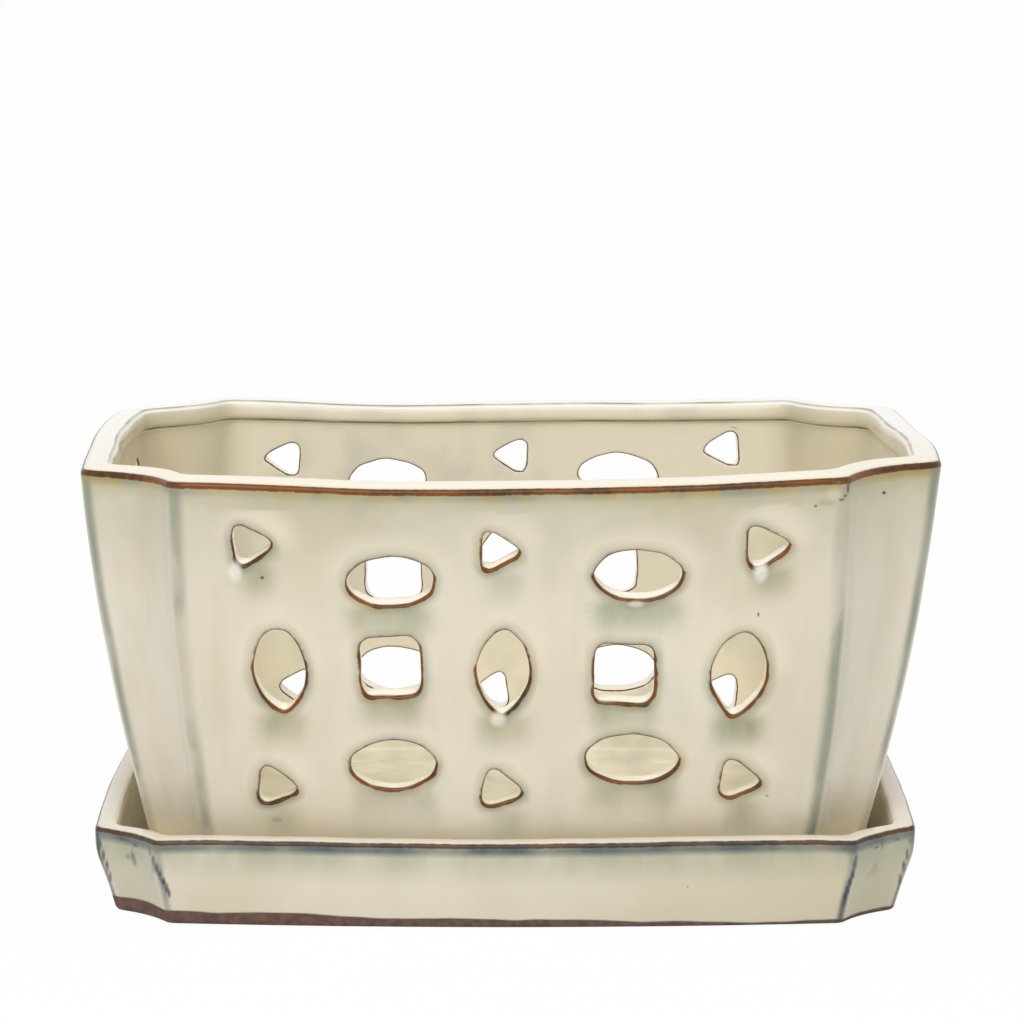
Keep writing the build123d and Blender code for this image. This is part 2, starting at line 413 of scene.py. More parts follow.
def set_on_column(vertex, layers, cut, column, level, depth, shift):
    """Puts a vertex on a column, at a height and a depth from the outside."""
    flat = column_point(cut, column)
    point = Vector((flat.x, flat.y, level))
    set_place(vertex, layers, point, depth, shift, crease_gap(cut, column))


def loop_edges(vertices):
    """The edges that join these vertices."""
    chosen = set(vertices)
    touching = (edge for vertex in vertices for edge in vertex.link_edges)
    return list(dict.fromkeys(edge for edge in touching if chosen.issuperset(edge.verts)))


def grow(bm, edges, place):
    """Extrudes loops of edges, and place puts each new vertex."""
    made = bmesh.ops.extrude_edge_only(bm, edges=edges)["geom"]
    vertices = [item for item in made if isinstance(item, bmesh.types.BMVert)]
    for vertex in vertices:
        place(vertex)
    return loop_edges(vertices)


def ring_tube(bm, layers, columns, profile, shift, mark):
    """Closed loops round the body, one for each step of its profile. Returns the last loop."""

    def placer(step):
        cut, height, inset = step

        def place(vertex):
            column = columns[vertex[layers.column]]
            level = height(column) if callable(height) else height
            set_on_column(vertex, layers, cut, column, level, inset, shift)
            mark(vertex, layers, column, inset, level)

        return place

    first = bmesh.ops.create_circle(bm, segments=len(columns), radius=1)["verts"]
    place = placer(profile[0])
    for number, vertex in enumerate(first):
        vertex[layers.column] = number
        place(vertex)
    edges = loop_edges(first)
    for step in profile[1:]:
        edges = grow(bm, edges, placer(step))
    return edges


Slot = namedtuple("Slot", "wall row column kind x z tilt")
HALF_SIZES = {
    "eye": (EYE_SIZE[0] / 2, EYE_SIZE[1] / 2),
    "leaf": (EYE_SIZE[1] / 2, EYE_SIZE[0] / 2),
    "square": (SQUARE_SIDE / 2, SQUARE_SIDE / 2),
    "triangle": (6.5, 7),
}


def all_slots():
    """Every slot with its place on its wall, by rows from the top."""
    slots = []
    rises = {"eye": EYE_RISE, "triangle": TRIANGLE_RISE, "leaf": 0, "square": 0}
    for wall in range(4):
        kind = wall % 2
        for row, (kinds, drifts) in enumerate(zip(PATTERNS[kind], DRIFT_SHARES[wall])):
            for column, (name, (along, up, tilt)) in enumerate(zip(kinds, drifts)):
                x = (column - (len(kinds) - 1) / 2) * PITCHES[kind] + along * DRIFT
                z = SLOTS_Z + (1 - row) * rises[name] + up * DRIFT
                slots.append(Slot(wall, row, column, name, x, z, math.radians(tilt)))
    return slots


# How strong the haze below a slot is, by row and left of a line, and how far aside it can reach
HAZE_SHARES = (1.0, 1.0, 0.72)
HAZE_LEFT_SHARE = 0.88
HAZE_LEFT_X = 10
HAZE_REACH = 28


def stain(vertex, layers, wall, x, z):
    """Thin glaze leaves a grey haze below a slot and a warm halo above it."""
    haze = halo = 0.0
    for slot in SLOTS:
        if slot.wall == wall and abs(slot.x - x) < HAZE_REACH:
            wide, tall = HALF_SIZES[slot.kind]
            aside = abs(slot.x - x) - wide
            below, above = slot.z - tall - z, z - slot.z
            run = smooth_step(-3, 1.5, below) * fade(2, 14, below) * HAZE_SHARES[slot.row]
            run *= 1 if slot.x > HAZE_LEFT_X else HAZE_LEFT_SHARE
            haze = max(haze, run * fade(-5, 2.5, aside))
            ring = math.hypot((slot.x - x) / (wide + 7), above / (tall + 7))
            halo = max(halo, fade(0.62, 1.25, ring) * smooth_step(-4, 5, above))
    vertex[layers.haze] = haze
    vertex[layers.halo] = halo


def arc_points(start, middle, end, count):
    """Points along a shallow arc, without its last."""
    bulge = middle - (start + end) / 2
    shares = [number / count for number in range(count)]
    return [start.lerp(end, share) + bulge * 4 * share * (1 - share) for share in shares]


# Points of a lens's half and of a straight side, and how close together they are made
LENS_STEPS = 120
SIDE_STEPS = 60
EVEN_SPACING = 0.2

# How oval the two ends of an eye and a leaf are, how far the rounding reaches along each
# outline, and how far straight sides swell
EYE_FULLNESS = (1.0, 1.0)
LEAF_FULLNESS = (0.35, 0.75)
ROUNDINGS = {"eye": 2.6, "leaf": 3.0, "square": 9.6, "triangle": 11.0}
SWELLS = {"square": 0.3, "triangle": 0.5}


def lens_points(half_long, half_wide, fullness):
    """A lens along X whose ends, left and right, lie between pointed (0) and oval (1)."""
    points = []
    for side in (-1, 1):
        for number in range(LENS_STEPS):
            place = side * math.cos(number / LENS_STEPS * math.pi)
            full = fullness[0] if place < 0 else fullness[1]
            across = mix(1 - place * place, math.sqrt(max(0, 1 - place * place)), full)
            points.append(Vector((place * half_long, side * across * half_wide)))
    return points


def sharp_outline(kind):
    """A slot's outline before its corners are rounded."""
    if kind == "eye":
        return lens_points(EYE_SIZE[0] / 2, EYE_SIZE[1] / 2, EYE_FULLNESS)
    if kind == "leaf":
        points = lens_points(EYE_SIZE[0] / 2, EYE_SIZE[1] / 2 + 0.1, LEAF_FULLNESS)
        return [Vector((-point.y, point.x)) for point in points]
    if kind == "square":
        half = SQUARE_SIDE / 2
        corners = [Vector(place) for place in ((-half, -half), (half, -half), (half, half), (-half, half))]
    else:
        left, half = -TRIANGLE_SIZE[0] / 2, TRIANGLE_SIZE[1] / 2
        corners = [Vector(place) for place in ((left, half), (left, -half), (-left, 0))]
    points = []
    for start, end in zip(corners, corners[1:] + corners[:1]):
        middle = (start + end) / 2
        points += arc_points(start, middle + middle.normalized() * SWELLS[kind], end, SIDE_STEPS)
    return points


def evenly(points, spacing):
    """Points at one spacing along a closed outline."""
    even, left = [], 0.0
    for start, end in zip(points, points[1:] + points[:1]):
        length = (end - start).length
        while left < length:
            even.append(start.lerp(end, left / length))
            left += spacing
        left -= length
    return even


def rounded(even, reach):
    """Rounds corners by averaging along the outline, as far as the reach."""
    span = round(reach / EVEN_SPACING / 2)
    count = len(even)
    total = sum((even[step % count] for step in range(-span, span + 1)), Vector((0, 0)))
    points = []
    for number in range(count):
        points.append(total / (2 * span + 1))
        total = total + even[(number + span + 1) % count] - even[(number - span) % count]
    return points


def slot_outline(slot, seed):
    """Points round a slot, closer together where it bends: outer place, inner place, way out."""
    sharp, reach = sharp_outline(slot.kind), ROUNDINGS[slot.kind]
    width = NARROWED.get(slot[:3], 1)
    even = evenly([Vector((point.x * width, point.y)) for point in sharp], EVEN_SPACING)
    cos, sin = math.cos(slot.tilt), math.sin(slot.tilt)
    turned = []
    for points in (rounded(even, reach), rounded(even, reach + 2)):
        for number, point in enumerate(points):
            place = even[number] / 6
            point = point * (1 + 0.05 * noise.noise(Vector((place.x, place.y, seed * 3.7))))
            points[number] = Vector((cos * point.x - sin * point.y, sin * point.x + cos * point.y))
        turned.append(points)
    outer, inner = turned
    count = len(outer)
    ways = [(outer[(number + 2) % count] - outer[number - 2]).normalized() for number in range(count)]
    weights = []
    for number in range(count):
        step = (outer[(number + 1) % count] - outer[number]).length
        bend = ways[number].angle(ways[(number + 1) % count], 0)
        weights.append(step + 6 * bend)
    total = sum(weights)
    low = min(range(count), key=lambda number: (abs(outer[number].x) if outer[number].y < 0 else FAR))
    wanted = 4 * CELL_STEPS
    place, number, chosen = -total / 8, low, []
    while place < 0:
        number -= 1
        place += weights[number % count]
    for step in range(wanted):
        goal = step * total / wanted
        while place + weights[number % count] <= goal:
            place += weights[number % count]
            number += 1
        share = (goal - place) / weights[number % count]
        here, after = number % count, (number + 1) % count
        way = ways[here].lerp(ways[after], share).normalized()
        out = Vector((way.y, -way.x))
        edge = out * mix(*SLOT_EDGE, lowness(out))
        sill = out * (0.45 + SLOT_SILLS[slot.row] * max(0, -out.y) ** 1.5)
        places = (outer[here].lerp(outer[after], share) - edge, inner[here].lerp(inner[after], share) - sill)
        chosen.append((*places, out))
    return chosen


def lowness(out):
    """1 on the lower edge of a slot, where glaze runs and the edge is round, 0 on the upper one."""
    return smooth_step(-0.6, 0.7, 0.12 * out.x - out.y)


def side_points(start, middle, end):
    """Points along one side of a cell, without its last, through the side's middle."""
    shares = [number / CELL_STEPS for number in range(CELL_STEPS)]
    points = []
    for share in shares:
        weights = (2 * share * share - 3 * share + 1, 4 * share * (1 - share), 2 * share * share - share)
        points.append(start * weights[0] + middle * weights[1] + end * weights[2])
    return points


class Field:
    """The cells of one wall, whose sides bend to keep clear of the slots beside them."""

    def __init__(self, wall, slots):
        self.lines = boundaries(wall)
        self.grid = {(slot.row, slot.column): slot for slot in slots if slot.wall == wall}
        self.columns = len(self.lines) - 1
        self.rows = len(FIELD_Z) - 1

    def upright(self, row, line):
        """Middle of the upright side on a line, in a row."""
        height = (FIELD_Z[row] + FIELD_Z[row + 1]) / 2
        if line in (0, self.columns):
            return Vector((self.lines[line], height))
        before, after = self.grid[row, line - 1], self.grid[row, line]
        low = before.x + HALF_SIZES[before.kind][0]
        high = after.x - HALF_SIZES[after.kind][0]
        return Vector(((low + high) / 2, height))

    def level(self, line, column):
        """Middle of the level side on a row line, in a column."""
        place = (self.lines[column] + self.lines[column + 1]) / 2
        if line in (0, self.rows):
            return Vector((place, FIELD_Z[line]))
        above, below = self.grid[line - 1, column], self.grid[line, column]
        high = above.z - HALF_SIZES[above.kind][1]
        low = below.z + HALF_SIZES[below.kind][1]
        return Vector((place, (low + high) / 2))

    def corner(self, line, column):
        """Where a row line (from the top) meets a column line (from the left)."""
        x, z = self.lines[column], FIELD_Z[line]
        inside_x, inside_z = 0 < column < self.columns, 0 < line < self.rows
        if inside_x and inside_z:
            x = (self.upright(line - 1, column).x + self.upright(line, column).x) / 2
            z = (self.level(line, column - 1).y + self.level(line, column).y) / 2
        return Vector((x, z))

    def cell(self, row, column):
        """The cell's outline, anticlockwise seen from outside, from its lower left corner."""
        low_left, low_right = self.corner(row + 1, column), self.corner(row + 1, column + 1)
        high_left, high_right = self.corner(row, column), self.corner(row, column + 1)
        points = side_points(low_left, self.level(row + 1, column), low_right)
        points += side_points(low_right, self.upright(row, column + 1), high_right)
        points += side_points(high_right, self.level(row, column), high_left)
        return points + side_points(high_left, self.upright(row, column), low_left)


# Rings of a slot, from its cell's edge on the outside, through the wall, to the cell's edge
# on the inside: share of the way to the cell or gap from the slot, depth, share of narrowing
SLOT_RINGS = (
    ("cell", 1.0, 0, 0), ("cell", 0.78, 0, 0), ("cell", 0.56, 0, 0), ("cell", 0.36, 0, 0),
    ("cell", 0.17, 0, 0), ("gap", 2.1, 0, 0), ("gap", 1.6, 0, 0), ("turn", 1.2, 0.01, 0),
    ("turn", 0.95, 0.05, 0), ("turn", 0.7, 0.16, 0), ("turn", 0.45, 0.34, 0.01),
    ("turn", 0.22, 0.6, 0.03), ("turn", 0.06, 0.95, 0.08), ("gap", 0, 1.7, 0.2), ("gap", 0, 3.0, 0.45),
    ("gap", 0, 4.6, 0.75), ("gap", 0, 6.2, 0.95), ("gap", 0, 7.0, 1), ("gap", 0.1, 7.4, 1),
    ("gap", 0.3, 7.7, 1), ("gap", 0.6, 7.88, 1), ("gap", 1.0, 7.98, 1), ("gap", 1.4, 8, 1),
    ("gap", 2.0, 8, 1), ("cell", 0.35, 8, 1), ("cell", 0.66, 8, 1), ("cell", 1.0, 8, 1),
)


def slot_tubes(bm, layers, slots):
    """Every slot with the cell round it, outside and inside, as loops grown through the wall."""
    fields = [Field(wall, slots) for wall in range(4)]
    outlines, cells = [], []
    for number, slot in enumerate(slots):
        outlines.append(slot_outline(slot, number))
        cells.append(fields[slot.wall].cell(slot.row, slot.column))

    def placer(ring):
        way, amount, depth, narrowing = ring

        def place(vertex):
            slot, number = slots[vertex[layers.slot]], vertex[layers.point]
            outer, inner, out = outlines[vertex[layers.slot]][number]
            edge = Vector((slot.x, slot.z)) + outer.lerp(inner, narrowing)
            low = lowness(out)
            size = mix(*SLOT_EDGE, low) if way == "turn" else 1
            gap, deep = amount * size, depth * size
            flat = edge + out * (2.0 if way == "cell" else gap)
            if way == "cell":
                flat = flat.lerp(cells[vertex[layers.slot]][number], amount)
                gap = (flat - edge).length
            column = ("wall", slot.wall, flat.x)
            set_on_column(vertex, layers, pot_section(flat.y, deep), column, flat.y, deep, pot_shift)
            outside = depth < 1.5
            vertex[layers.skin] = deep / WALL
            along = min(deep, WALL - deep) - gap
            vertex[layers.line] = 0.95 * fade(0.16, 0.55, abs(along + (0.1 if outside else -0.1)))
            if outside:
                broad = mix(0.75, 1.12, low) * (1 + 0.5 * noise.noise(Vector((flat.x, flat.y, 40)) / 3))
                vertex[layers.burnt] = mix(0.3, 1, low) * fade(0.4, 1.05, abs(along + 0.25) / broad)
                vertex[layers.fringe] = fade(0.7, 4.2, gap) * mix(0.45, 1, low)
                stain(vertex, layers, slot.wall, flat.x, flat.y)
            else:
                vertex[layers.burnt] = 0.6 * fade(0.2, 0.8, abs(along - 0.1))

        return place

    edges = []
    for number in range(len(slots)):
        ring = bmesh.ops.create_circle(bm, segments=4 * CELL_STEPS, radius=1)["verts"]
        for point, vertex in enumerate(ring):
            vertex[layers.slot] = number
            vertex[layers.point] = point
            placer(SLOT_RINGS[0])(vertex)
        edges += loop_edges(ring)
    for ring in SLOT_RINGS[1:]:
        edges = grow(bm, edges, placer(ring))


def corner_sheets(bm, layers):
    """The plain stretch of wall round each corner, outside and inside, beside the fields."""
    levels = [FIELD_Z[-1]]
    for low, high in zip(FIELD_Z[::-1], FIELD_Z[-2::-1]):
        levels += spread(low, high, CELL_STEPS)
    for wall in range(4):
        columns = corner_columns(wall)
        for depth in (0, WALL):
            sheet = bmesh.ops.create_grid(
                bm, x_segments=len(columns) - 1, y_segments=len(levels) - 1, size=0.5
            )["verts"]
            for vertex in sheet:
                column = columns[round((vertex.co.x + 0.5) * (len(columns) - 1))]
                height = levels[round((vertex.co.y + 0.5) * (len(levels) - 1))]
                cut = pot_section(height, depth)
                set_on_column(vertex, layers, cut, column, height, depth, pot_shift)
                vertex[layers.skin] = depth / WALL
                if depth == 0 and column[0] == "wall":
                    stain(vertex, layers, column[1], column[2], height)


def rim_marks(vertex, layers, column, inset, level):
    """The glaze breaks brown over the rim's edges, and runs thin and greenish just below."""
    vertex[layers.skin] = smooth_step(8.8, 10, inset) if level > 139.6 else min(inset / WALL, 1)
    outer_edge = math.hypot(inset - 0.3, level - 145.9)
    ridge = math.hypot(inset - 9.0, level - 147.65)
    lip_edge = math.hypot(inset - 9.3, level - 140.55)
    vertex[layers.burnt] = fade(0.6, 1.45, outer_edge)
    vertex[layers.line] = max(0.75 * fade(0.2, 0.65, ridge), fade(0.25, 0.75, lip_edge))
    if inset < 1:
        vertex[layers.fringe] = 0.7 * smooth_step(141.2, 144.4, level) + 0.3 * smooth_step(135, 143, level)


def outer_marks(vertex, layers, column, inset, level):
    """Haze can run down past the slots, round the base."""
    vertex[layers.skin] = 0.0
    if inset == 0 and column[0] == "wall":
        stain(vertex, layers, column[1], column[2], level)


def inner_marks(vertex, layers, column, inset, level):
    """Plain inner glaze."""
    vertex[layers.skin] = 1.0


def saucer_marks(vertex, layers, column, inset, level):
    """The saucer's glaze breaks brown over its rim and pools blue under it."""
    vertex[layers.skin] = smooth_step(2, 7, inset) * smooth_step(5, 7, level)
    outer_edge = math.hypot(inset - 0.25, level - 28.15)
    inner_edge = math.hypot(inset - 7.1, level - 28)
    vertex[layers.burnt] = fade(0.36, 1.02, outer_edge)
    vertex[layers.line] = 0.6 * fade(0.25, 0.9, inner_edge)
    if inset < 1:
        vertex[layers.fringe] = fade(0.6, 2.5, abs(level - 26.5))
        vertex[layers.haze] = smooth_step(14, 25, level)


def foot_share(column):
    """1 over a foot and 0 over the open stretch in the middle of a wall."""
    kind, wall, value = column
    if kind != "wall":
        return 1.0
    half_gap = FOOT_GAPS[wall % 2] / 2
    return smooth_step(half_gap - 2, half_gap + 2, abs(value))


def drain_edges(bm, layers, side, profile):
    """A drain hole as loops grown down through the floor. Returns its first and last loop."""
    middle = Vector((side * DRAIN_SPACING / 2, 0))

    def placer(radius, height):
        def place(vertex):
            turn = 2 * math.pi * vertex[layers.point] / DRAIN_STEPS
            way = Vector((math.cos(turn), math.sin(turn)))
            uneven = 0.35 * noise.noise(Vector((way.x * 1.3, way.y * 1.3, side * 5)))
            spot = middle + way * (radius + uneven)
            set_place(vertex, layers, Vector((spot.x, spot.y, height)), WALL, pot_shift)
            vertex[layers.skin] = 1.0
            vertex[layers.burnt] = fade(0.2, 1.2, abs(radius - DRAIN_RADIUS - 0.3)) if height > 12 else 0.0

        return place

    ring = bmesh.ops.create_circle(bm, segments=DRAIN_STEPS, radius=1)["verts"]
    for number, vertex in enumerate(ring):
        vertex[layers.point] = number
        placer(*profile[0])(vertex)
    first = edges = loop_edges(ring)
    for radius, height in profile[1:]:
        edges = grow(bm, edges, placer(radius, height))
    return first, edges


def finish_mesh(bm, name):
    """Joins the parts of a shell, turns its faces outwards and makes it an object."""
    bmesh.ops.remove_doubles(bm, verts=bm.verts, dist=0.00002)
    bmesh.ops.recalc_face_normals(bm, faces=bm.faces)
    for face in bm.faces:
        face.smooth = True
    mesh = bpy.data.meshes.new(name)
    bm.to_mesh(mesh)
    bm.free()
    piece = bpy.data.objects.new(name, mesh)
    bpy.context.collection.objects.link(piece)
    return piece


SLOTS = all_slots()

# Profiles, as inset and height: over the rim, round the base and down the inside
RIM_PROFILE = (
    (0, 139), (0, 140.4), (0, 141.7), (0, 142.8), (0, 143.7), (0, 144.4), (0.02, 145), (0.12, 145.55),
    (0.35, 146.05), (0.75, 146.45), (1.3, 146.75), (2.2, 147.05), (3.4, 147.4), (4.8, 147.75),
    (6.2, 147.97), (7.3, 148.05), (8, 148.02), (8.45, 147.92), (8.8, 147.78), (9.1, 147.6),
    (9.4, 147.38), (9.75, 147), (10.1, 146.4), (10.35, 145.6), (10.5, 144.6), (10.55, 143.5),
    (10.5, 142.5), (10.35, 141.8), (10.05, 141.25), (9.7, 140.9), (9.35, 140.65), (9, 140.45),
    (8.65, 140.2), (8.35, 139.9), (8.1, 139.5), (8, 139),
)
OUTER_BASE_PROFILE = (
    (0, 31.5), (0, 28.5), (0, 25.5), (0, 22.5), (0, 19.5), (0, 17), (0, 15), (0, 13.7),
    (0.25, 12.4), (0.95, 11.2), (2.1, 10.35), (3.5, 10),
)
INNER_BASE_PROFILE = (
    (8, 31.5), (8, 28.5), (8, 25.5), (8, 23.2), (8.1, 21.6), (8.6, 20), (9.5, 18.9), (10.6, 18.3),
)

# Across a foot, and across the groove over it: inset, and share of the full drop
FOOT_PROFILE = (
    (6.2, 0), (6.8, 0.2), (7.1, 0.7), (7.5, 0.93), (8.2, 1), (14, 1), (19.8, 1), (20.5, 0.93),
    (20.9, 0.7), (21.2, 0.2), (21.8, 0),
)
GROOVE_PROFILE = (
    (11.5, 0.0), (12.1, 0.3), (12.7, 0.8), (13.4, 1), (14.6, 1), (15.4, 0.75), (16.2, 0.3),
    (17, 0.05), (18, 0),
)

# Down a drain hole from either face: distance past its radius, and depth
DRAIN_PROFILE = ((1.4, 0), (0.7, 0.08), (0.25, 0.35), (0.03, 0.9), (0, 2))


def over_feet(level, drop):
    """Heights round the pot where only the stretches over the feet drop."""
    return lambda column: level - drop * foot_share(column)


def make_pot():
    """The pot as one closed shell: slotted walls, lip, feet, floor and drain holes."""
    noise.seed_set(NOISE_SEED)
    bm, layers = new_mesh()
    columns = ring_columns()
    slot_tubes(bm, layers, SLOTS)
    corner_sheets(bm, layers)

    rim = [(pot_section(height, inset), height, inset) for inset, height in RIM_PROFILE]
    ring_tube(bm, layers, columns, rim, pot_shift, rim_marks)

    outer = [(pot_section(height, inset), height, inset) for inset, height in OUTER_BASE_PROFILE]
    for inset, share in FOOT_PROFILE:
        outer.append((pot_section(BASE_Z, inset), over_feet(BASE_Z, share * (BASE_Z - SOLE_Z)), inset))
    under = ring_tube(bm, layers, columns, outer, pot_shift, outer_marks)

    inner = [(pot_section(height, inset), height, inset) for inset, height in INNER_BASE_PROFILE]
    for inset, share in GROOVE_PROFILE:
        inner.append((pot_section(FLOOR_Z, inset), over_feet(FLOOR_Z, share * GROOVE_DEPTH), inset))
    floor = ring_tube(bm, layers, columns, inner, pot_shift, inner_marks)

    drain = [(DRAIN_RADIUS + gap, FLOOR_Z - depth) for gap, depth in DRAIN_PROFILE]
    drain += [(DRAIN_RADIUS + gap, BASE_Z + depth) for gap, depth in DRAIN_PROFILE[::-1]]
    tops, bottoms = list(floor), list(under)
    for side in (-1, 1):
        top, bottom = drain_edges(bm, layers, side, drain)
        tops += top
        bottoms += bottom
    bmesh.ops.triangle_fill(bm, use_beauty=True, edges=tops, normal=(0, 0, 1))
    bmesh.ops.triangle_fill(bm, use_beauty=True, edges=bottoms, normal=(0, 0, -1))
    return finish_mesh(bm, "pot_glazed")


SAUCER_UPRIGHT_Z = 20
SAUCER_FLOOR_Z = 6
TRAY_FOOT_SHARE = 0.75

# Steps of the saucer, as inset, share of its taper and height, and down into its tray, as inset
# and height
SAUCER_FOOT_PROFILE = ((18, 1, 0), (8, 1, 0), (3, 1, 0), (1.1, 1, 0.04), (0.4, 0.99, 0.3), (0.1, 0.97, 0.8))
SAUCER_WALL_LEVELS = (1.6, 3, 4.6, 6.4, 8.4, 10.4, 12.4, 14.4, 16.2)
SAUCER_RIM_PROFILE = (
    (0, 0.115, 17.9), (0, 0.055, 19.4), (0, 0.02, 20.9), (0, 0.004, 22.4), (0, 0, 24), (0, 0, 25),
    (0, 0, 26), (0, 0, 26.9), (0.08, 0, 27.6), (0.35, 0, 28.2), (0.9, 0, 28.65), (1.6, 0, 28.92),
    (2.5, 0, 29), (4, 0, 29), (5.4, 0, 28.9), (6.3, 0, 28.6), (6.95, 0, 28.1), (7.35, 0, 27.3),
    (7.5, 0, 26.3), (7.5, 0, 23.5), (7.5, 0.01, 20.5),
)
TRAY_PROFILE = (
    (7.5, 18), (7.5, 15.5), (7.5, 13), (7.5, 10.8), (7.7, 9.2), (8.3, 7.8), (9.2, 6.8), (10.4, 6.2), (12, 6),
)


def saucer_profile():
    """Steps of the saucer's section, from under its middle, round its wall, to its floor."""
    wall = [(0, 1 - height / SAUCER_UPRIGHT_Z, height) for height in SAUCER_WALL_LEVELS]
    slope = TRAY_FOOT_SHARE / (SAUCER_UPRIGHT_Z - SAUCER_FLOOR_Z)
    tray = [(inset, (SAUCER_UPRIGHT_Z - height) * slope, height) for inset, height in TRAY_PROFILE]
    middle = (18, TRAY_FOOT_SHARE, SAUCER_FLOOR_Z)
    return [*SAUCER_FOOT_PROFILE, *wall, *SAUCER_RIM_PROFILE, *tray, middle]


def make_saucer():
    """The saucer as one closed shell."""
    noise.seed_set(NOISE_SEED)
    bm, layers = new_mesh()
    columns = ring_columns()
    steps = [(section(SAUCER, drop, inset), height, inset) for inset, drop, height in saucer_profile()]
    tray = ring_tube(bm, layers, columns, steps, saucer_shift, saucer_marks)
    rest = [edge for edge in bm.edges if edge.is_boundary and edge.verts[0].co.z < 0.001]
    bmesh.ops.triangle_fill(bm, use_beauty=True, edges=tray, normal=(0, 0, 1))
    bmesh.ops.triangle_fill(bm, use_beauty=True, edges=rest, normal=(0, 0, -1))
    return finish_mesh(bm, "saucer_glazed")


def paint(red, green, blue):
    """A colour as it is seen, 0 to 255, in the straight light values that Blender wants."""
    seen = (value / 255 for value in (red, green, blue))
    return tuple(value / 12.92 if value <= 0.04045 else ((value + 0.055) / 1.055) ** 2.4 for value in seen)


# How strongly the glaze mirrors the white room, and how deep its waves and pits are, in metres
GLAZE_GLOSS = 0.27
GLAZE_RELIEF = 0.00022

# Creases farther from the middle than this, in metres, belong to the short walls
END_CREASES = (0.111, 0.115)


class Value:
    """A number that a node gives. Sums of values make further nodes."""

    def __init__(self, recipe, socket):
        self.recipe = recipe
        self.socket = socket

    def __add__(self, other):
        return self.recipe.sum("ADD", self, other)

    def __sub__(self, other):
        return self.recipe.sum("SUBTRACT", self, other)

    def __mul__(self, other):
        return self.recipe.sum("MULTIPLY", self, other)

    def __truediv__(self, other):
        return self.recipe.sum("DIVIDE", self, other)

    def __abs__(self):
        return self.recipe.sum("ABSOLUTE", self)


class Recipe:
    """A material's nodes. Its colour is built up by laying one over another."""

    def __init__(self, name, colours=None):
        self.colours = colours
        self.material = bpy.data.materials.new(name)
        self.material.use_nodes = True
        self.tree = self.material.node_tree
        self.shader = self.tree.nodes["Principled BSDF"]
        self.places = self.tree.nodes.new("ShaderNodeTexCoord").outputs["Object"]

    def add(self, kind, feeds, output, **settings):
        made = self.tree.nodes.new(kind)
        for name, value in settings.items():
            setattr(made, name, value)
        for socket, value in feeds.items():
            self.feed(made.inputs[socket], value)
        return Value(self, made.outputs[output])

    def feed(self, socket, value):
        """Gives a socket a value, another socket, a number or a colour."""
        if isinstance(value, Value):
            value = value.socket
        if isinstance(value, bpy.types.NodeSocket):
            self.tree.links.new(value, socket)
        elif socket.type == "RGBA":
            socket.default_value = (*value, 1)
        else:
            socket.default_value = value

    def told(self, *names):
        """What the mesh tells of a place."""
        return [self.add("ShaderNodeAttribute", {}, "Fac", attribute_name=name) for name in names]

    def sum(self, operation, first, second=0.0):
        return self.add("ShaderNodeMath", {0: first, 1: second}, 0, operation=operation)

    def step(self, value, low, high, start=0.0, end=1.0):
        feeds = {"Value": value, "From Min": low, "From Max": high, "To Min": start, "To Max": end}
        return self.add("ShaderNodeMapRange", feeds, 0, interpolation_type="SMOOTHSTEP")

    def moved(self, stretch, move):
        feeds = {"Vector": self.places, "Scale": stretch, "Location": move}
        return self.add("ShaderNodeMapping", feeds, 0)

    def cloud(self, scale, detail, stretch=(1, 1, 1), move=(0, 0, 0)):
        """Soft mottling, scale in patches per metre."""
        feeds = {"Vector": self.moved(stretch, move), "Scale": scale, "Detail": detail, "Roughness": 0.5}
        return self.add("ShaderNodeTexNoise", feeds, "Fac")

    def blot(self, x, z, half_width, half_height, core=0.5):
        """1 inside an upright spot, seen along Y. Its place and sizes are in millimetres."""
        stretch = (1 / (half_width * MM), 0, 1 / (half_height * MM))
        place = self.moved(stretch, (-x / half_width, 0, -z / half_height))
        gap = self.add("ShaderNodeVectorMath", {0: place}, "Value", operation="LENGTH")
        return self.step(gap, 1, core)

    def across(self, axis):
        """Distance from the middle along one axis, in metres."""
        return self.add("ShaderNodeSeparateXYZ", {"Vector": self.places}, axis)

    def blend(self, share, low, high):
        """Mixes two colours, each a node's or one named in the settings."""
        feeds = {0: share, 6: low, 7: high}
        for socket in (6, 7):
            if isinstance(feeds[socket], str):
                feeds[socket] = getattr(self.colours, feeds[socket])
        return self.add("ShaderNodeMix", feeds, 2, data_type="RGBA")

    def lay(self, share, shade):
        """Lays a colour over what is there."""
        self.colour = self.blend(share, self.colour, shade)

    def finish(self, rough, bump):
        self.feed(self.shader.inputs["Base Color"], self.colour)
        self.feed(self.shader.inputs["Roughness"], rough)
        self.feed(self.shader.inputs["Specular IOR Level"], GLAZE_GLOSS)
        feeds = {"Height": bump, "Distance": GLAZE_RELIEF, "Strength": 1.0}
        self.feed(self.shader.inputs["Normal"], self.add("ShaderNodeBump", feeds, 0))
        return self.material


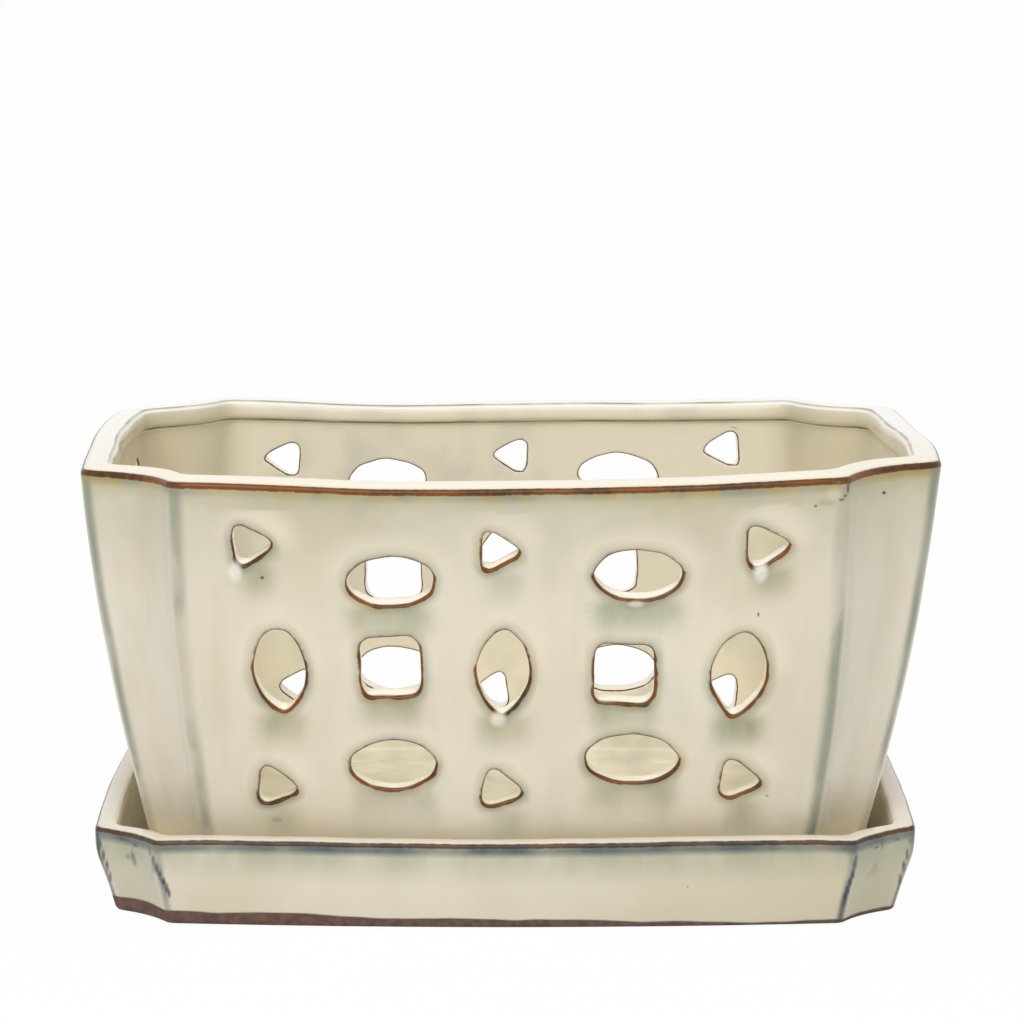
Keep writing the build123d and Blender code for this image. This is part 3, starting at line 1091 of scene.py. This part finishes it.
def lay_broken_edges(glaze, grain):
    """Lays a greenish fringe, rust and a dark line over the edges. Returns how brown they are."""
    step, cloud, lay = glaze.step, glaze.cloud, glaze.lay
    burnt, fringe, line, level = glaze.told("burnt", "fringe", "line", "level")
    slow = cloud(60, 2, move=(0.7, 0.2, 0.3))
    ragged = burnt * step(grain, 0.32, 0.68, 0.7, 1.3)
    bluish = step(cloud(85, 3, (1, 1, 0.5), (0.5, 0.9, 0.2)), 0.4, 0.62) + step(level, 138, 132, 0.0, 0.35)
    lay(fringe * step(slow, 0.3, 0.7, 0.6, 1.0), glaze.blend(bluish, "fringe", "fringe_blue"))
    lay(line * step(slow, 0.3, 0.62, 0.5, 0.95), "line")
    rust = step(ragged, 0.12, 0.6)
    lay(rust, glaze.blend(step(slow, 0.42, 0.6), "rust", "rust_dark"))
    dark = step(ragged, 0.8, 1.1) * step(slow, 0.4, 0.6, 0.1, 0.6)
    lay(dark, "burnt")
    return glaze.sum("MAXIMUM", rust, dark)


def lay_crease_streaks(glaze, width, strength, stretch):
    """Glaze thins and greys over the upright creases."""
    step = glaze.step
    crease, skin = glaze.told("crease_gap", "skin")
    aside = abs(glaze.across("X"))
    middle = step(aside, *END_CREASES, 0.25 * width, -0.25 * width)
    reach = step(aside, *END_CREASES, width, 0.6 * width)
    soft = step(abs(crease - middle) / reach, 1, 0.1)
    patchy = step(glaze.cloud(70, 4, stretch, (0.3, 0.1, 0.7)), 0.36, 0.6, 0.3, 1)
    glaze.lay(soft * patchy * step(skin, 0.3, 0.05) * strength, "streak")


# Specks and runs in the front's glaze: place, half width and height, strength, colour
POT_SPECKS = (
    (-76.3, 116.5, 0.8, 0.7, 0.8, "speck"),
    (121.0, 140.1, 0.85, 0.7, 0.9, "speck"),
    (80.1, 104.3, 0.5, 1.0, 0.7, "speck"),
    (105.6, 141.4, 1.2, 0.7, 0.7, "blue"),
    (97.4, 139.5, 0.8, 0.7, 0.7, "blue"),
    (100.8, 140.6, 4.2, 1.4, 0.3, "fringe_blue"),
    (107.6, 145.0, 0.6, 2.4, 0.85, "rust"),
    (106.7, 142.6, 0.9, 0.7, 0.6, "rust_dark"),
    (-73.6, 33.8, 2.2, 1.2, 0.28, "blue"),
    (84.6, 42.1, 0.7, 0.6, 0.5, "speck"),
)


def pot_glaze(colours):
    """Cream glaze that is greyer under the rim, with haze below the slots and brown edges."""
    glaze = Recipe("cream_pot_glaze", colours)
    step, cloud, lay, across = glaze.step, glaze.cloud, glaze.lay, glaze.across
    level, skin, haze, halo, crease = glaze.told("level", "skin", "haze", "halo", "crease_gap")
    clouds = cloud(20, 4)
    runs = cloud(75, 4, (1, 1, 0.2), (0.4, 0.2, 0.9))
    grain = cloud(420, 3)
    outside = step(skin, 0.3, 0.05)

    # Walls, seen from outside
    glaze.colour = glaze.blend(step(clouds, 0.35, 0.68), "cream", "cream_warm")
    lay(step(level, 100, 146) * step(clouds, 0.3, 0.7, 0.6, 0.95) * outside, "thin")
    lay(step(runs, 0.42, 0.72, 0, 0.3) * outside, "thin")
    lay(halo * step(clouds, 0.3, 0.6, 0.35, 0.7), "halo")
    # Painted light: the outside is lighter low down, beside the saucer, where the saucer shades it
    lay(step(level, 36, 22, 0.0, 0.75) * outside, "cream_low")
    misty = glaze.blend(step(clouds, 0.4, 0.6), "haze", "haze_green")
    lay(haze * step(runs, 0.3, 0.7, 0.6, 1.0), misty)
    lay_crease_streaks(glaze, 4.6, 0.92, (1, 1, 0.35))
    ends = step(abs(across("X")), *END_CREASES) * step(abs(crease), 4, 0.5)
    lay(ends * step(level, 55, 142, 0.0, 0.55) * outside, "fringe_blue")
    # Sills: thick glaze, painted lighter as well, as painted light on ledges whose inner half lies in shade
    lay(step(skin, 0.1, 0.24) * step(skin, 0.98, 0.88), "sill")

    # Inside, with painted light that lifts its shade, most of all low down, and the flat of the rim
    smudge = step(cloud(44, 3, (1, 1, 0.8), (0.8, 0.5, 0.1)), 0.42, 0.76, 0, 0.5)
    inner = glaze.blend(smudge, glaze.blend(step(level, 72, 38), "inside", "inside_deep"), "smudge")
    # Painted shade: darker in the inner corners and at the left end of the inside
    left = step(across("X"), -0.095, -0.125, 0.0, 0.75)
    painted_shade = glaze.sum("MAXIMUM", step(crease, 12, -3) * 0.55, left)
    lay(step(skin, 0.88, 1), glaze.blend(painted_shade, inner, "smudge_brown"))
    flat = glaze.blend(step(across("Y"), -0.07, 0.05), "rim_top", "rim_back")
    lay(step(level, 146.3, 147.2), flat)
    edge = lay_broken_edges(glaze, grain)

    # Beads, pits and specks
    front = step(across("Y"), -0.04, -0.05) * outside
    for x, z, half_width, half_height, height, milky in BEADS:
        bead = glaze.blot(x, z, half_width * 1.15, half_height * 1.15, 0.3)
        lay(bead * front * milky, "bead")
    feeds = {"Vector": glaze.places, "Scale": 95.0, "Randomness": 1.0}
    gap, picked = (glaze.add("ShaderNodeTexVoronoi", feeds, output) for output in ("Distance", "Color"))
    pit = step(gap, 0.055, 0.025) * step(picked, 0.86, 0.9)
    lay(pit * 0.6, "speck")
    for *place, share, shade in POT_SPECKS:
        lay(glaze.blot(*place) * front * share, shade)

    bump = cloud(110, 2) * 0.7 + grain * 0.12 - pit * 0.4
    return glaze.finish(step(edge, 0, 1, 0.13, 0.24), bump)


# Runs in the saucer's front glaze: place, half width and height, strength, colour
SAUCER_SPECKS = (
    (-114.2, 25.2, 0.9, 2.2, 0.6, "streak"),
    (-113.1, 22.8, 1.1, 2.8, 0.85, "streak"),
    (-111.9, 20.4, 1.2, 3.0, 0.95, "streak"),
    (-110.9, 18.0, 1.2, 3.0, 0.95, "streak"),
    (-109.9, 15.6, 1.2, 3.0, 0.95, "streak"),
    (-108.9, 13.4, 1.2, 2.8, 0.9, "streak"),
    (-108.2, 11.4, 0.9, 2.4, 0.8, "streak"),
    (-124.0, 26.6, 3.6, 0.9, 0.6, "streak"),
    (-119.6, 25.6, 1.6, 1.0, 0.6, "streak"),
    (-132.2, 23.0, 0.9, 3.0, 0.85, "streak"),
    (-131.2, 19.4, 1.0, 3.4, 0.9, "streak"),
    (-130.1, 15.6, 1.0, 3.4, 0.9, "streak"),
    (-129.2, 12.0, 0.9, 3.0, 0.85, "streak"),
    (113.0, 23.6, 1.0, 2.6, 0.75, "streak"),
    (112.5, 21.0, 1.2, 3.0, 0.9, "streak"),
    (111.9, 18.2, 1.2, 3.0, 0.95, "streak"),
    (111.1, 15.4, 1.2, 3.0, 0.95, "streak"),
    (110.4, 12.6, 1.2, 3.0, 0.95, "streak"),
    (109.7, 10.2, 1.0, 2.4, 0.9, "streak"),
    (131.4, 19.6, 0.9, 3.2, 0.85, "streak"),
    (130.4, 15.4, 1.0, 3.4, 0.9, "streak"),
    (129.3, 11.0, 0.9, 3.2, 0.85, "streak"),
    (58.7, 14.9, 0.5, 0.5, 0.6, "streak"),
    (120.3, 24.6, 1.6, 0.6, 0.6, "burnt"),
    (127.6, 25.6, 1.6, 0.9, 0.6, "streak"),
)


def saucer_glaze(colours):
    """Cream glaze that pools blue under the rim and ends above a bare clay foot."""
    glaze = Recipe("cream_saucer_glaze", colours)
    step, cloud, lay, across = glaze.step, glaze.cloud, glaze.lay, glaze.across
    level, skin, haze, crease = glaze.told("level", "skin", "haze", "crease_gap")
    clouds = cloud(24, 4, move=(0.2, 0.7, 0.4))
    runs = cloud(90, 4, (1, 1, 0.25), (0.6, 0.1, 0.2))
    grain = cloud(420, 3)
    outside = step(skin, 0.3, 0.05)

    # Walls, floor and rim
    glaze.colour = glaze.blend(step(clouds, 0.35, 0.68), "cream", "cream_warm")
    lay(step(across("X"), -0.03, 0.12, 0.0, 0.8), "cream_deep")
    # Painted shade: the dished corner cuts are darkened towards the pooled blue
    lay(step(crease, 1, -4, 0.0, 0.35), "haze")
    lay(haze * step(runs, 0.25, 0.7, 0.5, 1.0) * 0.75, "haze")
    lay_crease_streaks(glaze, 2.4, 1.0, (1, 1, 0.6))
    splash = step(cloud(130, 4, (1, 1, 0.8), (0.9, 0.3, 0.6)), 0.55, 0.68)
    lay(step(crease, 4, -1) * splash * step(level, 12, 24, 0.0, 0.75) * outside, "streak")
    # Painted light: the floor is lighter than the glaze, so that it throws more light up onto the pot's foot
    lay(step(skin, 0.5, 1), "inside")
    lay(step(level, 28.3, 28.85), "rim_top")
    edge = lay_broken_edges(glaze, grain)
    front = step(across("Y"), -0.04, -0.05) * outside
    for *place, share, shade in SAUCER_SPECKS:
        spot = glaze.blot(*place, core=0.2) * front
        lay(spot * step(grain, 0.25, 0.6, share * 0.6, share), shade)

    # Bare clay below a wavy line, which is higher to the left
    line = step(across("X"), -0.13, 0.1, 5.2, 1.4)
    wavy = step(cloud(30, 2, (1, 1, 0.1), (0.1, 0.1, 0.1)), 0.25, 0.75, -0.7, 0.7)
    over = level - (line + wavy)
    wall = step(skin, 0.9, 0.5)
    clay = step(over, 0.25, -0.25) * wall
    lay(step(abs(over), 0.5, 0.1) * wall * 0.4, "rust_dark")
    lay(clay, glaze.blend(step(grain, 0.35, 0.65), "clay", "clay_dark"))

    rough = glaze.sum("MAXIMUM", step(edge, 0, 1, 0.14, 0.3), clay * 0.82)
    bump = cloud(110, 2) * 0.7 + grain * 0.15 - clay * 0.9
    return glaze.finish(rough, bump)


# How white the floor looks to the camera and in reflections
STAGE_WHITE_SHARE = 0.96


def plain_floor():
    """Pale floor that the camera and reflections see as white, and that keeps soft shadows."""
    recipe = Recipe("pale_floor")
    inputs = recipe.shader.inputs
    colour = recipe.blend(recipe.cloud(40, 2), paint(238, 238, 236), paint(244, 244, 243))
    recipe.feed(inputs["Base Color"], colour)
    recipe.feed(inputs["Roughness"], 0.9)
    recipe.feed(inputs["Specular IOR Level"], 0.0)
    glow = recipe.add("ShaderNodeEmission", {"Color": (1, 1, 1)}, 0)
    share = recipe.sum("MULTIPLY", seen_rays(recipe.tree), STAGE_WHITE_SHARE)
    both = recipe.add("ShaderNodeMixShader", {0: share, 1: recipe.shader.outputs[0], 2: glow}, 0)
    recipe.feed(recipe.tree.nodes["Material Output"].inputs["Surface"], both)
    return recipe.material


def seen_rays(tree):
    """1 for camera, glossy and transmission rays, which see a white background."""
    rays = tree.nodes.new("ShaderNodeLightPath").outputs
    seen = rays["Is Camera Ray"]
    for name in ("Is Glossy Ray", "Is Transmission Ray"):
        larger = tree.nodes.new("ShaderNodeMath")
        larger.operation = "MAXIMUM"
        tree.links.new(seen, larger.inputs[0])
        tree.links.new(rays[name], larger.inputs[1])
        seen = larger.outputs[0]
    return seen


def studio_world(strength):
    """Even light all round, and a white background for the camera and reflections."""
    world = bpy.data.worlds.new("Studio")
    world.use_nodes = True
    tree = world.node_tree
    light = tree.nodes["Background"]
    light.inputs["Strength"].default_value = strength
    white = tree.nodes.new("ShaderNodeBackground")
    for background in (light, white):
        background.inputs["Color"].default_value = (1, 1, 1, 1)
    both = tree.nodes.new("ShaderNodeMixShader")
    for number, socket in enumerate((seen_rays(tree), light.outputs[0], white.outputs[0])):
        tree.links.new(socket, both.inputs[number])
    tree.links.new(both.outputs[0], tree.nodes["World Output"].inputs["Surface"])
    bpy.context.scene.world = world


def softbox(name, place, size, power):
    """A lamp with a rectangular face, aimed at the pot."""
    light = bpy.data.lights.new(name, "AREA")
    light.shape = "RECTANGLE"
    light.size, light.size_y = size
    light.energy = power
    lamp = bpy.data.objects.new(name, light)
    lamp.location = place
    lamp.rotation_euler = (Vector(LIGHT_AIM) - lamp.location).to_track_quat("-Z", "Y").to_euler()
    bpy.context.collection.objects.link(lamp)


def colour_prop(name, description, shade):
    return FloatVectorProperty(
        name=name, description=description, default=paint(*shade), subtype="COLOR", size=3, min=0, max=1
    )


class PotColours(PropertyGroup):
    cream: colour_prop("Cream", "Main glaze of the walls", (222, 215, 198))
    cream_warm: colour_prop("Warm cream", "Patches where the glaze is thicker", (219, 209, 187))
    # Painted light low down on the outside, against the shade of the saucer
    cream_low: colour_prop("Low cream", "Lighter glaze low down, near the feet", (244, 230, 198))
    thin: colour_prop("Thin glaze", "Greyer glaze towards the rim", (188, 182, 156))
    haze: colour_prop("Haze", "Grey haze below the slots", (168, 168, 144))
    haze_green: colour_prop("Green haze", "Greener patches of the haze", (158, 156, 124))
    halo: colour_prop("Halo", "Warm glaze above the slots", (229, 218, 197))
    streak: colour_prop("Crease streaks", "Grey-green glaze over the creases", (148, 151, 134))
    bead: colour_prop("Beads", "Milky runs and beads of thick glaze", (236, 233, 219))
    # Partly thick glaze, partly painted light on the slots' ledges
    sill: colour_prop("Sills", "Thick smooth glaze in the slots' edges", (250, 243, 224))
    # Inside colours are painted light: lighter than the outside cream, and lighter still low down, to lift
    # the inside's shade
    inside: colour_prop("Inside", "Glaze of the inside", (231, 223, 201))
    inside_deep: colour_prop("Deep inside", "Thick glaze low down inside", (248, 240, 216))
    smudge: colour_prop("Smudges", "Grey-blue smudges of the inside", (186, 187, 174))
    # Painted shade of the inner corners and of the inside's left end
    smudge_brown: colour_prop("Inner corners", "Thin glaze in the inner corners", (206, 194, 162))
    rim_top: colour_prop("Rim top", "Ivory glaze on the flat of the rim", (240, 233, 215))
    rim_back: colour_prop("Rim at the back", "Paler glaze on the far side of the rim", (249, 246, 238))
    fringe: colour_prop("Fringe", "Olive glaze beside the brown edges", (162, 146, 88))
    fringe_blue: colour_prop("Blue fringe", "Bluer stretches beside the brown edges", (136, 142, 122))
    blue: colour_prop("Blue specks", "Blue-black specks under the rim", (92, 98, 104))
    line: colour_prop("Edge line", "Thin dark line where the glaze breaks over an edge", (92, 70, 42))
    rust: colour_prop("Rust", "Orange-brown where the glaze breaks over an edge", (119, 68, 14))
    rust_dark: colour_prop("Dark rust", "Darker stretches of the brown edges", (91, 55, 21))
    burnt: colour_prop("Burnt", "Darkest line of an edge", (58, 34, 16))
    speck: colour_prop("Specks", "Pinholes and iron specks", (58, 52, 48))


class SaucerColours(PropertyGroup):
    cream: colour_prop("Cream", "Main glaze of the saucer", (223, 216, 197))
    cream_warm: colour_prop("Warm cream", "Patches where the glaze is thicker", (216, 206, 183))
    cream_deep: colour_prop("Deep cream", "Darker glaze towards the right end", (205, 196, 170))
    # Pooled blue glaze under the rim, and also painted shade in the corner cuts
    haze: colour_prop("Pooled blue", "Teal glaze under the rim", (159, 161, 138))
    streak: colour_prop("Crease streaks", "Blue-black glaze over the creases", (62, 71, 86))
    # Painted light: lighter than the glaze, to throw light up onto the pot's foot
    inside: colour_prop("Inside", "Glaze of the saucer's floor", (238, 230, 208))
    rim_top: colour_prop("Rim top", "Glaze on the flat of the rim", (228, 219, 200))
    fringe: colour_prop("Fringe", "Teal line below the rim", (104, 112, 104))
    fringe_blue: colour_prop("Blue fringe", "Bluer stretches of the teal line", (86, 98, 100))
    line: colour_prop("Edge line", "Thin dark line at the inside of the rim", (132, 116, 86))
    rust: colour_prop("Rust", "Brown where the glaze breaks over the rim", (88, 62, 46))
    rust_dark: colour_prop("Dark rust", "Darker stretches of the brown edge", (68, 50, 42))
    burnt: colour_prop("Burnt", "Darkest line of the rim", (50, 38, 34))
    clay: colour_prop("Bare clay", "Unglazed foot", (114, 88, 79))
    clay_dark: colour_prop("Dark clay", "Darker grains of the bare clay", (94, 73, 66))


def number_prop(name, description, default, least=0, unit="NONE"):
    return FloatProperty(name=name, description=description, default=default, min=least, unit=unit)


class StageSettings(PropertyGroup):
    lens: number_prop("Lens", "Focal length of the camera", 110.6, 20, "CAMERA")
    room_light: number_prop("Room light", "Strength of the light all round", 0.62)
    key_power: number_prop("Key power", "Power of the large softbox", 12.0)
    glint_power: number_prop("Glint power", "Power of the two small softboxes", 1.2)


def dress(piece, node, finish):
    """Stands a piece in for its CAD node and gives it its glaze."""
    piece.data.materials.append(finish)
    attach(piece, node)
    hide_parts(node)


class ORCHIDPOT_OT_saucer(Operator):
    """Throws the saucer: upright band, slanting wall, flat rim and bare clay foot"""

    bl_idname = "orchidpot.saucer"
    bl_label = "Build saucer"

    def execute(self, context):
        dress(make_saucer(), "saucer", saucer_glaze(context.scene.saucer_colours))
        return {"FINISHED"}


class ORCHIDPOT_OT_pot(Operator):
    """Builds the slotted pot with its lip, feet and drain holes"""

    bl_idname = "orchidpot.pot"
    bl_label = "Build pot"

    def execute(self, context):
        dress(make_pot(), "pot", pot_glaze(context.scene.pot_colours))
        return {"FINISHED"}


# Floor of the stage, a little under the saucer, and the camera and how far it looks down
FLOOR_RADIUS = 20.0
FLOOR_DROP = 0.0002
CAMERA_PLACE = (0.0023, -1.0506, 0.3286)
CAMERA_PITCH = 0.195
KEY_PLACE = (-0.2, -1.1, 1.35)
LIGHT_AIM = (0, 0, 0.08)


class ORCHIDPOT_OT_stage(Operator):
    """Sets up the floor, the soft studio light and the camera"""

    bl_idname = "orchidpot.stage"
    bl_label = "Set the stage"

    def execute(self, context):
        settings = context.scene.stage_settings
        studio_world(settings.room_light)
        softbox("key", KEY_PLACE, (1.3, 0.9), settings.key_power)
        for side in (-1, 1):
            softbox("glint", (side * 0.55, -0.8, 1.0), (0.1, 0.1), settings.glint_power)

        bm = bmesh.new()
        ring = bmesh.ops.create_circle(bm, cap_ends=True, segments=96, radius=FLOOR_RADIUS)["verts"]
        for vertex in ring:
            vertex.co.z = -FLOOR_DROP
        mesh = bpy.data.meshes.new("floor")
        bm.to_mesh(mesh)
        bm.free()
        mesh.materials.append(plain_floor())
        floor = bpy.data.objects.new("floor", mesh)
        context.collection.objects.link(floor)

        camera = bpy.data.cameras.new("Camera")
        camera.lens = settings.lens
        camera.sensor_width = 36
        view = bpy.data.objects.new("Camera", camera)
        view.location = CAMERA_PLACE
        view.rotation_euler = (math.pi / 2 - CAMERA_PITCH, 0, 0)
        context.collection.objects.link(view)
        context.scene.camera = view
        context.scene.view_settings.view_transform = "Standard"
        return {"FINISHED"}


class ORCHIDPOT_PT_panel(Panel):
    """Lists the steps with their colours and stage settings"""

    bl_idname = "ORCHIDPOT_PT_panel"
    bl_label = "Orchid pot"
    bl_space_type = "VIEW_3D"
    bl_region_type = "UI"
    bl_category = "Orchid pot"

    def draw(self, context):
        for operator, group in STEPS:
            box = self.layout.box()
            box.operator(operator.bl_idname)
            settings = getattr(context.scene, group)
            for name in settings.__annotations__:
                box.prop(settings, name)


GROUPS = (
    ("pot_colours", PotColours),
    ("saucer_colours", SaucerColours),
    ("stage_settings", StageSettings),
)
STEPS = (
    (ORCHIDPOT_OT_saucer, "saucer_colours"),
    (ORCHIDPOT_OT_pot, "pot_colours"),
    (ORCHIDPOT_OT_stage, "stage_settings"),
)
CLASSES = [group for name, group in GROUPS] + [operator for operator, group in STEPS] + [ORCHIDPOT_PT_panel]


def register():
    for made in CLASSES:
        bpy.utils.register_class(made)
    for name, group in GROUPS:
        setattr(bpy.types.Scene, name, PointerProperty(type=group))


def unregister():
    for name, group in GROUPS:
        delattr(bpy.types.Scene, name)
    for made in reversed(CLASSES):
        bpy.utils.unregister_class(made)


def main():
    register()
    bpy.ops.orchidpot.saucer()
    bpy.ops.orchidpot.pot()
    bpy.ops.orchidpot.stage()


if __name__ == "__main__":
    main()
